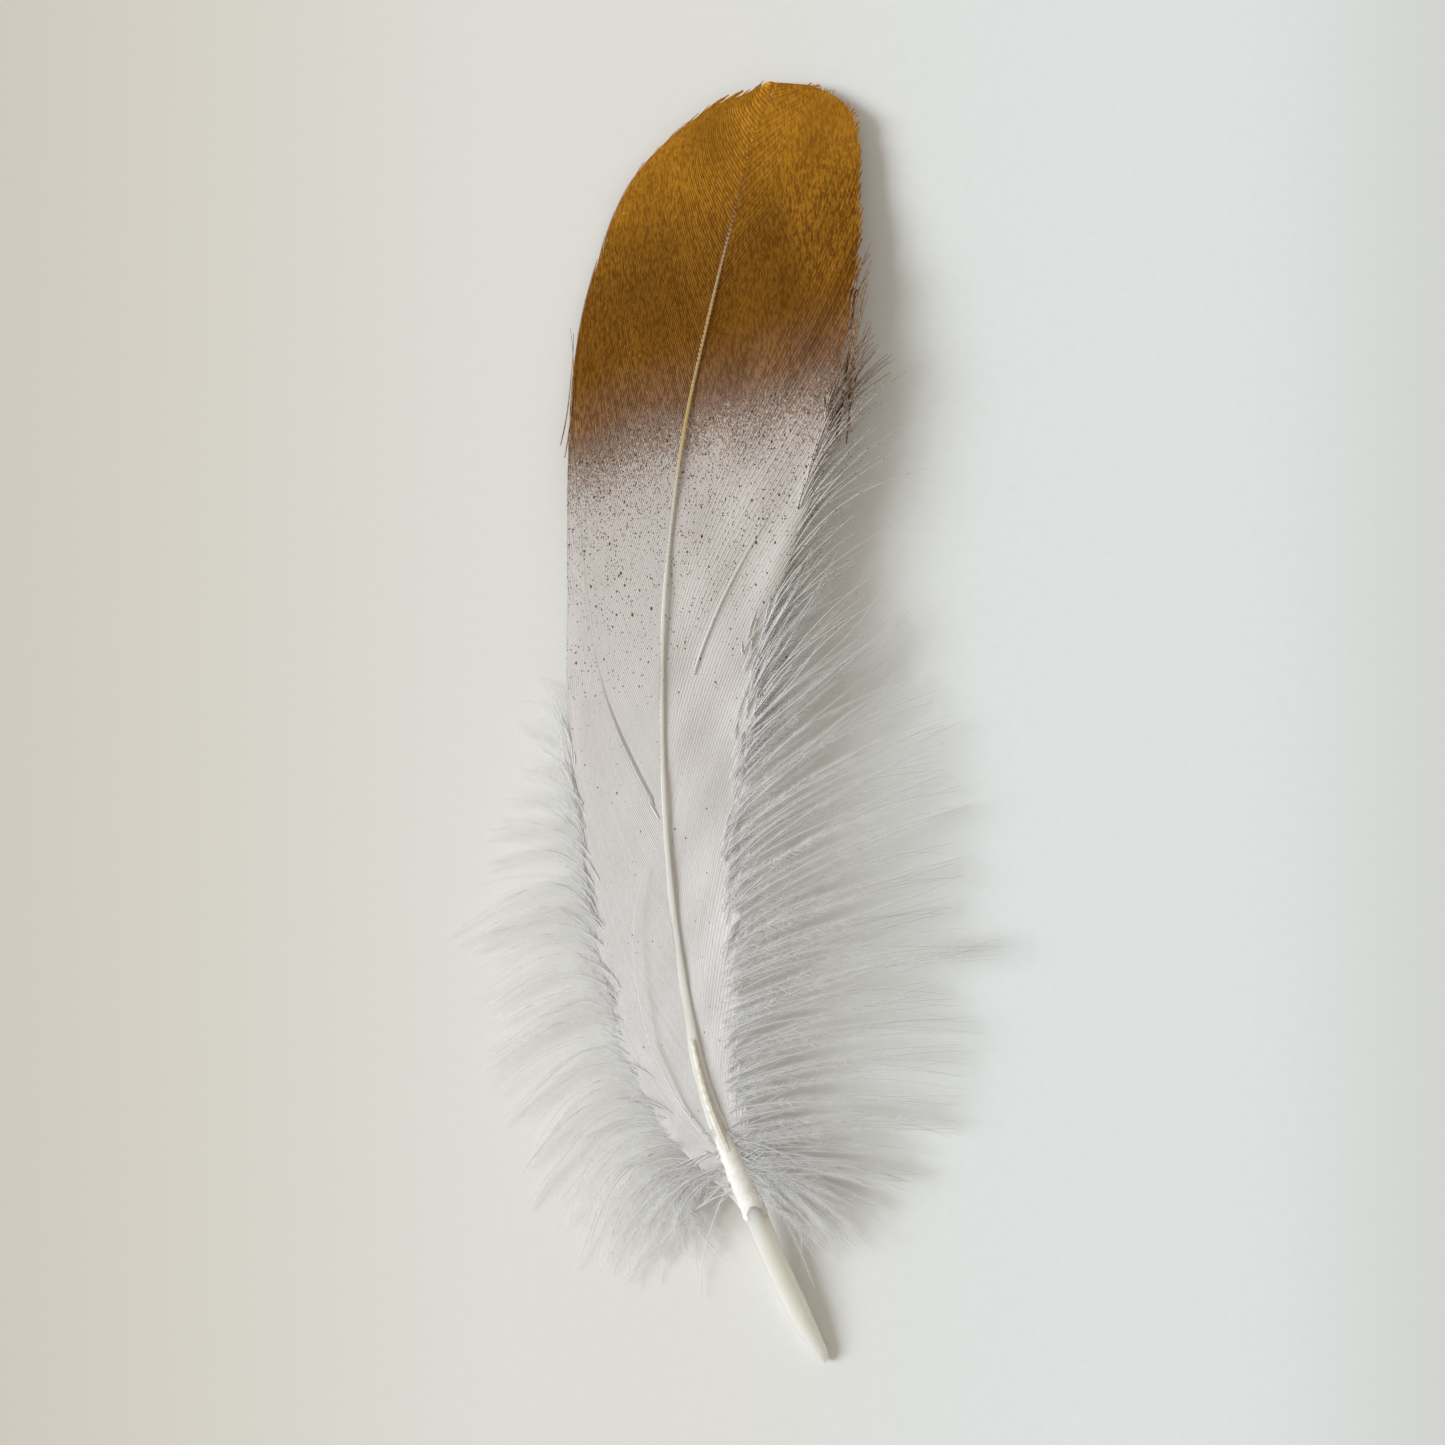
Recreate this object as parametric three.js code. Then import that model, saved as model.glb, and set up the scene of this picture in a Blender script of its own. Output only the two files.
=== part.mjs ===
// A natural goose feather with a gilded tip, lying on a table with its convex side up.
// Millimetres. +Y runs from the quill's tip towards the vane's tip, +X to the wide open down,
// +Z up. The origin is on the small flat under the quill's tip, where it touches the table.
import * as THREE from 'three';

// Driving dimensions
const GAP = 0.3;                  // clearance between neighbouring pieces
const QUILL_RADIUS = 1.6;         // calamus, outside
const QUILL_WALL = 0.38;
const QUILL_TIP_RADIUS = 0.64;    // calamus at its lower end
const QUILL_TAPER = 9;            // length of the tapered end
const QUILL_TOP = 0.136;          // where the calamus becomes the rachis, 0 to 1 along the shaft
const BARE_SHARE = 3 / 15;        // share of the shaft's points below the vane
const RACHIS_END = 0.95;          // 0 to 1 along the vane
const RACHIS_DEPTH = 1.2;         // depth over width of the rachis
const PITH_END = 0.13;            // 0 to 1 along the vane
const PITH_WALL = 0.3;            // rachis wall around the pith
const PITH_CLEARANCE = 0.15;
const VANE_THICKNESS = 0.45;
const VANE_CROWN = 1.6;           // how far the vane bulges between the shaft and its edge
const VANE_END = 0.99;
const VANE_LENGTH = 165;
const DOWN_ROOT_THICKNESS = 0.7;
const DOWN_THICKNESS = 2.0;       // at the fattest part of a lobe
const DOWN_END_HEIGHT = 0.35;     // lobes come down to the table
const STRAY_RADIUS = 0.2;

// Shaft: three points for the bare quill, then one for each station of the vane
const SHAFT = [
  [0.7, -1.3, 0.45], [-3.6, 6.7, 1.5], [-7.6, 15.5, 2.8],
  [-11.8, 25.9, 4.4], [-16.4, 37.5, 6.0], [-19.5, 52.7, 7.6], [-21.5, 69.7, 8.7],
  [-22.3, 86.7, 9.2], [-22.1, 102.7, 9.2], [-20.8, 117.7, 8.8], [-18.6, 131.7, 8.0],
  [-15.6, 145.2, 6.8], [-12.6, 157.7, 5.3], [-9.8, 168.7, 3.7], [-8.0, 173.5, 2.9],
  [-5.9, 177.6, 2.1],
];

// Outlines of the closed vane, one point for each station
const LEFT_EDGE = [
  [-16.3, 25.2, 3.8], [-24.7, 35.7, 4.2], [-30.4, 52.7, 4.4], [-33.3, 69.7, 4.2],
  [-35.6, 86.7, 3.6], [-35.6, 104.7, 3.0], [-35.6, 120.7, 2.4], [-35.0, 135.7, 2.0],
  [-32.4, 149.7, 1.6], [-26.7, 163.5, 1.4], [-17.8, 172.0, 1.4], [-11.6, 175.3, 1.6],
  [-6.6, 177.6, 1.9],
];
const RIGHT_EDGE = [
  [-9.2, 25.6, 4.1], [-11.4, 36.7, 5.6], [-11.8, 52.7, 7.2], [-11.8, 68.7, 7.9],
  [-10.0, 85.7, 8.2], [-7.5, 102.7, 8.2], [-2.9, 117.2, 7.9], [1.1, 131.7, 7.2],
  [3.7, 144.7, 5.9], [4.9, 157.7, 4.4], [4.7, 170.2, 2.8], [1.6, 175.3, 2.2],
  [-4.6, 177.6, 1.9],
];

// Outer ends of the rays that divide each side's down into lobes, from the top to the quill
const LEFT_DOWN_ENDS = [
  [-39.7, 94.7], [-44.4, 85.2], [-48.7, 71.7], [-52.2, 60.7], [-52.5, 48.7], [-50.7, 36.7],
  [-46.7, 25.2], [-39.7, 15.2], [-31.7, 8.2], [-22.2, 7.2], [-14.2, 12.7],
];
const RIGHT_DOWN_ENDS = [
  [3.3, 120.7], [5.8, 114.2], [10.8, 105.7], [16.3, 94.7], [19.8, 83.7], [22.3, 71.7],
  [22.8, 59.7], [22.8, 47.7], [22.3, 37.7], [18.3, 28.2], [12.8, 19.2], [6.3, 12.2], [0.3, 11.7],
];
const DOWN_TOP = { left: 0.37, right: 0.49 };  // 0 to 1 along the vane
const DOWN_ARCH = 5;                           // how far a lobe bows towards the vane's tip

// Where one bundle of barbs parts from the next, at the rachis, 0 to 1 along the vane
const BUNDLES = {
  left: ['base', 0.1, 'lower', 0.285, 'middle', 0.42, 'upper', 0.6, 'tip'],
  right: ['base', 0.12, 'lower', 0.3, 'middle', 0.39, 'upper', 0.6, 'tip'],
};

// Single barbs that stand off the vane
const STRAY_BARBS = {
  stray_barb_right_low: [[3.4, 131.6, 6.4], [5.4, 136.3, 6.6], [6.9, 141.6, 7.0]],
  stray_barb_right_middle: [[4.3, 137.2, 6.1], [5.7, 142.2, 6.3], [6.0, 148.4, 6.6]],
  stray_barb_right_high: [[4.9, 145.6, 5.6], [5.9, 149.0, 5.7], [6.0, 152.4, 5.9]],
  stray_barb_left: [[-36.3, 131.0, 2.2], [-36.6, 136.0, 2.3], [-35.3, 142.6, 2.4]],
};

const KERATIN = { color: 0xdedbcb, roughness: 0.3, metalness: 0 };
const SHAFT_WHITE = { color: 0xefecdc, roughness: 0.45, metalness: 0 };
const PITH_WHITE = { color: 0xf3f0e6, roughness: 0.9, metalness: 0 };
const MEMBRANE = { color: 0xe6dfc8, roughness: 0.6, metalness: 0 };
const VANE_WHITE = { color: 0xd3cfcb, roughness: 0.7, metalness: 0 };
const VANE_GOLD = { color: 0x8a5416, roughness: 0.45, metalness: 0.5 };
const DOWN_WHITE = { color: 0xe2e2df, roughness: 0.95, metalness: 0 };

function curveThrough(points) {
  return new THREE.CatmullRomCurve3(points.map((point) => new THREE.Vector3(...point)));
}

const shaftCurve = curveThrough(SHAFT);
const edgeCurves = { left: curveThrough(LEFT_EDGE), right: curveThrough(RIGHT_EDGE) };

// A point of the shaft's centre line at a place along the vane
function shaftAtVane(along) {
  return shaftCurve.getPoint(BARE_SHARE + (1 - BARE_SHARE) * along);
}

// Half width of the rachis: it narrows fast above the quill, then slowly to its tip
function rachisRadius(along) {
  const root = 0.85 * Math.exp(-Math.pow(Math.max(along, 0) / 0.15, 1.5));
  return 0.46 - 0.36 * Math.pow(Math.max(along, 0), 1.5) + root;
}

// Closed solid through rings of equal length. A 'fan' end closes on its middle, a 'ladder' end
// joins the first half of a thin ring to the second, and a 'loop' joins the last ring to the first.
function loft(rings, ends) {
  const count = rings[0].length;
  const points = rings.flat().map((point) => point.clone());
  const faces = [];
  const steps = ends === 'loop' ? rings.length : rings.length - 1;
  for (let i = 0; i < steps; i++) {
    const next = (i + 1) % rings.length;
    for (let j = 0; j < count; j++) {
      const k = (j + 1) % count;
      faces.push(i * count + j, i * count + k, next * count + k);
      faces.push(i * count + j, next * count + k, next * count + j);
    }
  }
  const caps = ends === 'loop' ? [] : [[0, true], [(rings.length - 1) * count, false]];
  for (const [start, reversed] of caps) {
    const cap = ends === 'fan' ? fanCap(points, start, count) : ladderCap(start, count);
    for (const [a, b, c] of cap) {
      faces.push(...(reversed ? [a, c, b] : [a, b, c]));
    }
  }
  return solidOf(points, faces);
}

function fanCap(points, start, count) {
  const middle = new THREE.Vector3();
  for (let j = 0; j < count; j++) {
    middle.addScaledVector(points[start + j], 1 / count);
  }
  points.push(middle);
  const centre = points.length - 1;
  const triangles = [];
  for (let j = 0; j < count; j++) {
    triangles.push([start + j, start + (j + 1) % count, centre]);
  }
  return triangles;
}

function ladderCap(start, count) {
  const triangles = [];
  for (let j = 0; j + 1 < count / 2; j++) {
    const far = count - 1 - j;
    triangles.push([start + j, start + j + 1, start + far - 1]);
    triangles.push([start + j, start + far - 1, start + far]);
  }
  return triangles;
}

// Indexed geometry with its faces turned outwards
function solidOf(points, faces) {
  let volume = 0;
  for (let i = 0; i < faces.length; i += 3) {
    const [a, b, c] = [points[faces[i]], points[faces[i + 1]], points[faces[i + 2]]];
    volume += a.dot(new THREE.Vector3().crossVectors(b, c));
  }
  const index = volume > 0 ? faces : faces.slice().reverse();
  const geometry = new THREE.BufferGeometry().setFromPoints(points);
  geometry.setIndex(index);
  geometry.computeVertexNormals();
  return geometry;
}

// Ring of a round or oval section square to the shaft. Nothing goes below the floor height.
function sectionRing(centre, tangent, radius, depth, sides, floor) {
  const across = new THREE.Vector3(tangent.y, -tangent.x, 0).normalize();
  const upwards = new THREE.Vector3().crossVectors(across, tangent).normalize();
  const ring = [];
  for (let j = 0; j < sides; j++) {
    const angle = (2 * Math.PI * j) / sides;
    const point = centre.clone().addScaledVector(across, radius * Math.cos(angle));
    point.addScaledVector(upwards, radius * depth * Math.sin(angle));
    point.z = Math.max(point.z, floor);
    ring.push(point);
  }
  return ring;
}

function linearSteps(from, to, count) {
  return Array.from({ length: count + 1 }, (_, i) => from + ((to - from) * i) / count);
}

function part(name, geometry, look) {
  const mesh = new THREE.Mesh(geometry, new THREE.MeshStandardMaterial(look));
  mesh.name = name;
  return mesh;
}

// Calamus: a hollow quill, open at its tip and where the pith meets it
function quillRadius(place) {
  const fromTip = shaftCurve.getLength() * place;
  const tipShare = (QUILL_TIP_RADIUS / QUILL_RADIUS) ** 2;
  return QUILL_RADIUS * Math.sqrt(Math.min(1, tipShare + ((1 - tipShare) * fromTip) / QUILL_TAPER));
}

function calamus() {
  const sides = 16;
  const places = [...linearSteps(0, 0.05, 8), ...linearSteps(0.05, QUILL_TOP, 6).slice(1)];
  const ringAt = (place, wall, floor) => sectionRing(
    shaftCurve.getPointAt(place), shaftCurve.getTangentAt(place), quillRadius(place) - wall,
    1, sides, floor);
  const outside = places.map((place) => ringAt(place, 0, 0));
  const inside = places.reverse().map((place) => ringAt(place, QUILL_WALL, QUILL_WALL / 2));
  return part('calamus', loft([...outside, ...inside], 'loop'), KERATIN);
}

// Pulp caps: the dried domes that the growing shaft leaves inside the quill
function pulpCaps() {
  const thickness = 0.12;
  const domeRadius = QUILL_RADIUS - QUILL_WALL - GAP;
  const profile = [];
  const inner = domeRadius - thickness;
  for (const angle of linearSteps(0, Math.PI / 2.4, 6)) {
    profile.push(new THREE.Vector2(inner * Math.sin(angle), inner * Math.cos(angle)));
  }
  for (const angle of linearSteps(Math.PI / 2.4, 0, 6)) {
    profile.push(new THREE.Vector2(domeRadius * Math.sin(angle), domeRadius * Math.cos(angle)));
  }
  return [0.06, 0.078, 0.096, 0.114].map((place, i) => {
    const dome = part(`pulp_cap_${i + 1}`, new THREE.LatheGeometry(profile, 12), MEMBRANE);
    dome.position.copy(shaftCurve.getPointAt(place));
    const upright = new THREE.Vector3(0, 1, 0);
    dome.quaternion.setFromUnitVectors(upright, shaftCurve.getTangentAt(place));
    return dome;
  });
}

// Rachis: the shaft that carries the vanes, with a pocket for the pith in its thick lower end
function shaftRing(along, radius, depth) {
  const place = BARE_SHARE + (1 - BARE_SHARE) * along;
  return sectionRing(shaftCurve.getPoint(place), shaftCurve.getTangent(place), radius, depth, 10, 0);
}

function rachisStart() {
  const top = shaftCurve.getPointAt(QUILL_TOP);
  let along = -0.1;
  while (shaftAtVane(along).y < top.y + GAP) {
    along += 0.0005;
  }
  return along;
}

function rachis() {
  const start = rachisStart();
  const outside = linearSteps(RACHIS_END, start, 40)
    .map((along) => shaftRing(along, rachisRadius(along), RACHIS_DEPTH));
  const pocket = linearSteps(start, PITH_END, 8)
    .map((along) => shaftRing(along, rachisRadius(along) - PITH_WALL, RACHIS_DEPTH));
  return part('rachis', loft([...outside, ...pocket], 'fan'), SHAFT_WHITE);
}

function pith() {
  const rings = linearSteps(rachisStart(), PITH_END - 0.005, 8)
    .map((along) => shaftRing(
      along, rachisRadius(along) - PITH_WALL - PITH_CLEARANCE, RACHIS_DEPTH));
  return part('rachis_pith', loft(rings, 'fan'), PITH_WHITE);
}

// How far a barb has run towards the vane's tip when it is a share of the way to the edge
const BARB_RUN = {
  left: (out) => 0.13 * out + 0.14 * out ** 3,
  right: (out) => 0.19 * out,
};

function barbLine(side, start, out) {
  return start + BARB_RUN[side](out) * Math.min(1, (1 - start) / 0.45);
}

// A point of the vane's middle surface
function vanePoint(side, along, out) {
  const away = side === 'left' ? -1 : 1;
  const root = shaftAtVane(along);
  root.x += away * (rachisRadius(along) + GAP);
  const point = root.clone().lerp(edgeCurves[side].getPoint(along), out);
  point.z += VANE_CROWN * out * (1 - out);
  return point;
}

// A bundle of hooked barbs between two barb lines
function barbBundle(side, label, low, high) {
  const rows = 6;
  const columns = 7;
  const width = 15;       // of one side of the vane, about
  const rings = [];
  for (const across of linearSteps(0, 1, rows)) {
    const top = [];
    const bottom = [];
    for (const out of linearSteps(0, 1, columns)) {
      const steepness = ((BARB_RUN[side](out) - BARB_RUN[side](out - 0.01)) / 0.01) * VANE_LENGTH;
      const clearance = (GAP / 2) * Math.hypot(1, steepness / width) / VANE_LENGTH;
      const lower = low === 0 ? 0 : barbLine(side, low, out) + clearance;
      const upper = high === 1 ? VANE_END : barbLine(side, high, out) - clearance;
      const point = vanePoint(side, THREE.MathUtils.lerp(lower, upper, across), out);
      top.push(point.clone().setZ(point.z + VANE_THICKNESS / 2));
      bottom.unshift(point.clone().setZ(point.z - VANE_THICKNESS / 2));
    }
    rings.push([...top, ...bottom]);
  }
  const look = label === 'tip' || label === 'upper' ? VANE_GOLD : VANE_WHITE;
  return part(`${side}_vane_${label}`, loft(rings, 'ladder'), look);
}

function vane(side) {
  const list = BUNDLES[side];
  const bundles = [];
  for (let i = 0; i < list.length; i += 2) {
    bundles.push(barbBundle(side, list[i], list[i - 1] ?? 0, list[i + 1] ?? 1));
  }
  return bundles;
}

// One ray of the down: it leaves the vane's edge, bows towards the vane's tip and comes down
function downRay(side, along, end) {
  const away = side === 'left' ? -1 : 1;
  const root = edgeCurves[side].getPoint(along);
  root.x += away * 2 * GAP;
  const tip = new THREE.Vector3(end[0], end[1], DOWN_END_HEIGHT);
  const bow = root.clone().lerp(tip, 0.5);
  bow.y += DOWN_ARCH * Math.min(1, along / 0.1);
  return new THREE.QuadraticBezierCurve3(root, bow, tip);
}

// A lobe of loose down between two rays
function downLobe(name, upperRay, lowerRay) {
  const rings = [];
  for (const out of linearSteps(0, 1, 7)) {
    const start = upperRay.getPoint(out);
    const end = lowerRay.getPoint(out);
    const clearance = (GAP / 2) / start.distanceTo(end);
    const swell = DOWN_ROOT_THICKNESS + (DOWN_THICKNESS - DOWN_ROOT_THICKNESS) * Math.sin(Math.PI * out);
    const top = [];
    const bottom = [];
    for (const across of linearSteps(clearance, 1 - clearance, 4)) {
      const point = start.clone().lerp(end, across);
      const half = (swell / 2) * (0.6 + 0.4 * Math.sin(Math.PI * across));
      top.push(point.clone().setZ(point.z + half));
      bottom.unshift(point.clone().setZ(Math.max(point.z - swell / 2, 0)));
    }
    rings.push([...top, ...bottom]);
  }
  return part(name, loft(rings, 'ladder'), DOWN_WHITE);
}

function down(side, ends) {
  const rays = ends.map((end, i) => downRay(side, DOWN_TOP[side] * (1 - i / (ends.length - 1)), end));
  return rays.slice(1).map((ray, i) => downLobe(`${side}_down_${i + 1}`, rays[i], ray));
}

function strayBarb(name, points) {
  const path = curveThrough(points);
  const rings = linearSteps(0, 1, 8).map((place) => sectionRing(
    path.getPoint(place), path.getTangent(place), STRAY_RADIUS * (1 - 0.5 * place), 1, 6, 0));
  return part(name, loft(rings, 'fan'), name === 'stray_barb_left' ? VANE_WHITE : VANE_GOLD);
}

const feather = new THREE.Group();
feather.add(calamus(), ...pulpCaps(), rachis(), pith());
feather.add(...vane('left'), ...vane('right'));
feather.add(...down('left', LEFT_DOWN_ENDS), ...down('right', RIGHT_DOWN_ENDS));
for (const [name, points] of Object.entries(STRAY_BARBS)) {
  feather.add(strayBarb(name, points));
}

export default feather;
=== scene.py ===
"""A white goose feather with a gilded tip, lying on a pale table: quill, shaft, vanes and down."""
import math

import bpy
import numpy as np
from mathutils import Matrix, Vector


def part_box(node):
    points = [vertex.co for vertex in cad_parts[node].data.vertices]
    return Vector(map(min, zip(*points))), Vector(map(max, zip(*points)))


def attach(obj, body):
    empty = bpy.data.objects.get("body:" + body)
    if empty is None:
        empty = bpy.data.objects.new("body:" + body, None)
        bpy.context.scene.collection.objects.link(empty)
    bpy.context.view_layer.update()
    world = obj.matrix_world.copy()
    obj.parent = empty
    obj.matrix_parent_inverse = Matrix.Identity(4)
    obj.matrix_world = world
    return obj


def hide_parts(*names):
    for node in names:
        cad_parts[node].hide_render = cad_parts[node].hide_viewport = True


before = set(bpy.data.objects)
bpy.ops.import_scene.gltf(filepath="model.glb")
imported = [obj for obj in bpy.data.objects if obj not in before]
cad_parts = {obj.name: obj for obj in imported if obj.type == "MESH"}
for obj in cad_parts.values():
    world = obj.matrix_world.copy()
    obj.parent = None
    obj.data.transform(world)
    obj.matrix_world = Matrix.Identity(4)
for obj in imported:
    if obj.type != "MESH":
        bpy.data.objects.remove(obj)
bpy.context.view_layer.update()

MM = 0.001
rng = np.random.default_rng(20)

# Feather anatomy, in millimetres
BARB_PITCH = 0.62           # along the shaft
BARB_SAMPLES = 40
BARB_OVERLAP = 1.12         # a barb's width against its neighbour's distance
BARB_TILT = {"left": 6, "right": -9}        # degrees, so that each barb laps over the next
RIDGE_HEIGHT = 0.07         # of a barb, against its width
VANE_CROWN = {"left": 1.6, "right": 0.3}    # how far the vane bulges between shaft and edge
EDGE_CURL = 0.5             # how far the narrow side's rim turns down
SPLIT_START = 0.325         # share of the vane where the parted barb leaves the shaft
SPLIT_BARBS, LIP_BARBS, LIP_HEIGHT = 2, 4, 0.4
SPLIT_DEPTH = 0.8           # how far the narrowed barbs of the split sink
BARB_STAGGER = 0.02         # every other barb lies this much higher
BARB_NARROWEST, BARB_SPACING = 0.12, (0.06, 2.5)
VANE_FOOT = 0.036           # share of the vane's length by which its first barbs start below it
RAGGED_SHARE = 0.3          # of the barbs at the tip, which stand out past the outline
STRAND_SAMPLES = 26
STRANDS = {"left": 14, "right": 17}     # in each lobe of down
TUFTS = 3                   # in each lobe
INWARD = {"left": 4.0, "right": 3.0}    # how far inside the edge strands may start
RISE = {"left": 0.25, "right": 0.2}    # of their start, for each millimetre inward
LOFT = {"left": (1.2, 2.1), "right": (1.7, 3.2)}    # above 1, a strand stays high, then falls
TIP_HEIGHT = {"left": (0.3, 1.0), "right": (0.8, 2.6)}
TIP_SPREAD = 1.6
STRAND_WIDTH = 0.2          # where it's widest
STRAND_ROOT, STRAND_TAPER = 0.6, 0.75       # share of it at the root, and lost at the tip
BARBULE_LENGTH = {"left": 1.75, "right": 1.25}
BARBULE_WIDTH = 0.032       # half of it
BARBULE_PITCH = 0.2
BARBULE_SPLAY = 48          # degrees off the strand
BARBULE_ROLL = math.radians(45)
STRAND_ROLL = math.radians(-42)     # turns a strand's flat side nearly level
TABLE_CLEARANCE = 0.04
PROFILE_UP = math.radians(-90)      # turns a barb's ridge upwards
ROOT_DROP = 0.5             # how far below the shaft's middle the wide side joins it

# Loose strands: how full their barbules are, their width against a lobe's strand, and their seed
LOOSE = {
    "foot_down": (0.55, 1.2, 910), "rim_down": (0.6, 1.0, 920), "edge_wisps": (0.32, 1.4, 901),
    "open_edge_barbs": (0.4, 1.4, 905), "stray_barbs_right": (0.14, 1.7, 902),
    "stray_barbs_left": (0.08, 1.3, 903), "laid_barbs": (0.05, 1.5, 904),
}
# Where they grow along the feather, how many there are, and how long they are
EDGE_WISPS = (84, 131), 120, (9, 25)
OPEN_BARBS = (80, 120), 190, (3, 12)
RIM_DOWN = {"left": (28, 78, 40), "right": (30, 100, 130)}
RIM_LENGTH = (5, 13)
FOOT_TURNS = {"left": (62, 172), "right": (55, 160)}    # degrees off the feather's line
FOOT_COUNT = {"left": 34, "right": 30}
FOOT_LOFT = {"left": (0.55, 0.95), "right": (1.2, 2.2)}
FOOT_LENGTH = {"left": (8, 21), "right": (6.8, 17.85)}
STRAY_COUNT, STRAY_SPREAD = {"left": 2, "right": 5}, {"left": 0.25, "right": 0.55}
LAID_HEIGHT = 0.24          # of a loose barb over the vane

# The shaft's sections
SHAFT_SIDES, SHAFT_FLATNESS, SHEATH_FLATNESS = 28, 0.35, 0.8
SHEATH_ENDS = (19.3, 33.5)
SHEATH_FIT = ([19.3, 20.2, 22.0, 26.0, 29.5, 31.5, 33.5], [0.9, 1.05, 1.22, 1.25, 1.12, 0.95, 0.5])
TORN_STEPS = ((21.4, 2.2), (24.2, 1.6), (26.6, 3.4), (31.0, 4.5))      # where, and how long

# Where the gold ends, in millimetres along the feather
GILD_LINE = 140.0
GILD_SLANT = -0.31
GILD_DRIFT = 5.0
SOLID_GOLD, GOLD_MIST = (-18.0, 8.0), (-42.0, -1.0)     # from that line, towards the tip
MIST_SHARE = 0.26
HAZE_SHARE = 0.5            # of the paint that lies as an even haze, not as drops
BROWN_SPOT, SHADED_GOLD_PATCH = (-14.0, 167.0, 0.0), (-21.0, 150.0, 0.0)     # where the gold is browner: a brown spot, and a patch of painted shade
# Drops of paint: cells a millimetre, least and greatest radius, share painted, and reach
SPECK_LAYERS = ((1.9, (0.12, 0.34), 0.35, 64.0), (3.4, (0.16, 0.4), 0.6, 54.0),
                (5.2, (0.25, 0.5), 0.7, 46.0))

# Colours, in linear light
# The brightest gold is a painted glint: flecks where the metal paint would catch the light
GOLD_GLINT, GOLD_LIGHT = (0.95, 0.56, 0.13), (0.66, 0.30, 0.020)
GOLD_DARK, GOLD_BROWN = (0.24, 0.088, 0.003), (0.18, 0.066, 0.004)
MIST_LIGHT, MIST_DARK, SPECK_BROWN = (0.37, 0.23, 0.15), (0.22, 0.12, 0.07), (0.17, 0.10, 0.06)
WEB_WHITE, WEB_SHADE, WEB_DUSTY = (0.95, 0.94, 0.935), (0.88, 0.865, 0.86), (0.74, 0.68, 0.63)
DOWN_WHITE, DOWN_SHADE = (0.985, 0.985, 0.98), (0.95, 0.945, 0.94)
SHAFT_IVORY, SHAFT_CREAM, SHAFT_SHADE = (0.97, 0.955, 0.88), (0.97, 0.92, 0.71), (0.91, 0.86, 0.66)
SHAFT_GILT, SHAFT_ROSE, SHAFT_TIP = (0.70, 0.38, 0.09), (0.52, 0.28, 0.13), (0.36, 0.15, 0.01)
HORN_LIGHT, HORN_SHADE = (0.955, 0.935, 0.85), (0.915, 0.89, 0.78)
BRONZE_LIGHT, BRONZE_DARK = (0.40, 0.23, 0.11), (0.17, 0.09, 0.04)
# The table's middle colour is its own; its far, cool and shade colours are painted light and shade
# across it, and the shade colour also tints its mottle
TABLE_FAR_WARM_SHADE, TABLE_MIDDLE, TABLE_COOL_LIGHT = (0.70, 0.665, 0.575), (0.85, 0.84, 0.80), (0.85, 0.895, 0.905)
TABLE_MOTTLE_AND_SHADE = (0.72, 0.73, 0.71)
SHEATH_WHITE, SHEATH_CREAM = (0.94, 0.92, 0.87), (0.86, 0.83, 0.74)
PITH_LIGHT, PITH_SHADE = (0.85, 0.82, 0.72), (0.7, 0.66, 0.55)
MEMBRANE_LIGHT, MEMBRANE_SHADE = (0.8, 0.74, 0.6), (0.6, 0.52, 0.38)

# Table, light and camera, in metres
TABLE_SIZE, TABLE_PLACE = 1.6, (0, 0.08, 0)
FILL_COLOUR, FILL_STRENGTH = (1.0, 0.92, 0.81), 0.44
KEY_COLOUR, KEY_STRENGTH = (0.936, 0.995, 1.06), 2.68
KEY_ELEVATION, KEY_SOFTNESS = math.radians(32), math.radians(28)
CAMERA_HEIGHT, FRAME_WIDTH = 0.278, 0.2023
FRAME_CENTRE = (-0.01407, 0.0882)

VANE_PARTS = ["base", "lower", "middle", "upper", "tip"]
LOBES = {"left": 10, "right": 12}
AWAY = {"left": -1, "right": 1}     # which way along x each side lies from the shaft


# ---------------------------------------------------------------- the frame's own lines

def crossing(names, y):
    """Points where the edges of the named CAD nodes cross the plane at y, in millimetres."""
    found = []
    for name in names:
        points, edges = solids[name]
        a, b = points[edges[:, 0]], points[edges[:, 1]]
        cut = (a[:, 1] - y) * (b[:, 1] - y) < 0
        a, b = a[cut], b[cut]
        share = ((y - a[:, 1]) / (b[:, 1] - a[:, 1]))[:, None]
        found.append(a + (b - a) * share)
    return np.concatenate(found)


def read_solid(obj):
    points = np.zeros(len(obj.data.vertices) * 3)
    obj.data.vertices.foreach_get("co", points)
    edges = np.zeros(len(obj.data.edges) * 2, int)
    obj.data.edges.foreach_get("vertices", edges)
    return points.reshape(-1, 3) / MM, edges.reshape(-1, 2)


solids = {name: read_solid(obj) for name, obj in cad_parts.items()}


def smooth(values, width):
    """Moving average that keeps its length."""
    padded = np.pad(values, width, mode="edge")
    kernel = np.hanning(2 * width + 1)
    return np.convolve(padded, kernel / kernel.sum(), mode="valid")


def trace_shaft():
    low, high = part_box("calamus")[0].y / MM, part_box("rachis")[1].y / MM
    ys = np.arange(low + 0.4, high - 0.2, 0.5)
    rows = []
    for y in ys:
        cut = crossing(["calamus", "rachis"], y)
        if len(cut) < 3:
            rows.append(rows[-1])
            continue
        low_corner, high_corner = cut.min(0), cut.max(0)
        middle = (low_corner + high_corner) / 2
        rows.append([middle[0], middle[2], (high_corner[0] - low_corner[0]) / 2])
    x, z, half = np.array(rows).T
    x = smooth(x, 4)
    square = np.cos(np.arctan(np.gradient(x, ys)))
    return {"y": ys, "x": x, "z": smooth(z, 4), "radius": smooth(half * square, 2)}


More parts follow.
